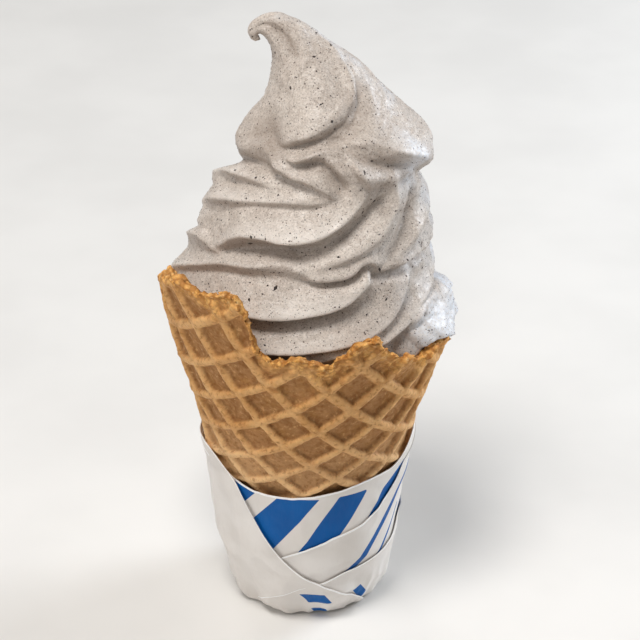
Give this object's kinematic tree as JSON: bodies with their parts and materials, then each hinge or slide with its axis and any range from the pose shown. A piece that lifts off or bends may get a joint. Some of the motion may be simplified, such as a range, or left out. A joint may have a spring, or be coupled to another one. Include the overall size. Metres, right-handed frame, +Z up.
{
  "type": "soft-serve waffle cone",
  "caption": "Speckled soft-serve swirl with a curled tip in a rolled waffle cone, standing in a wrapped paper sleeve with a folded flat bottom.",
  "frame": {"origin": "centre of the paper sleeve's flat bottom, on the surface that the cone stands on", "axes": "+Z up along the cone, -Y towards the side that the picture shows, +X to the right in that view"},
  "size_m": [0.0818, 0.0828, 0.18],
  "materials": {
    "wafer": "baked golden brown wafer, matt, paler on the ridges and darker at the rim",
    "soft_serve": "warm grey soft serve with fine dark cookie specks, moist satin",
    "sleeve_paper": "thin matt white paper with plain blue slanting stripes"
  },
  "bodies": {
    "root": {"waffle_cone": "wafer", "ice_cream": "soft_serve", "paper_sleeve": "sleeve_paper"}
  },
  "joints": []
}
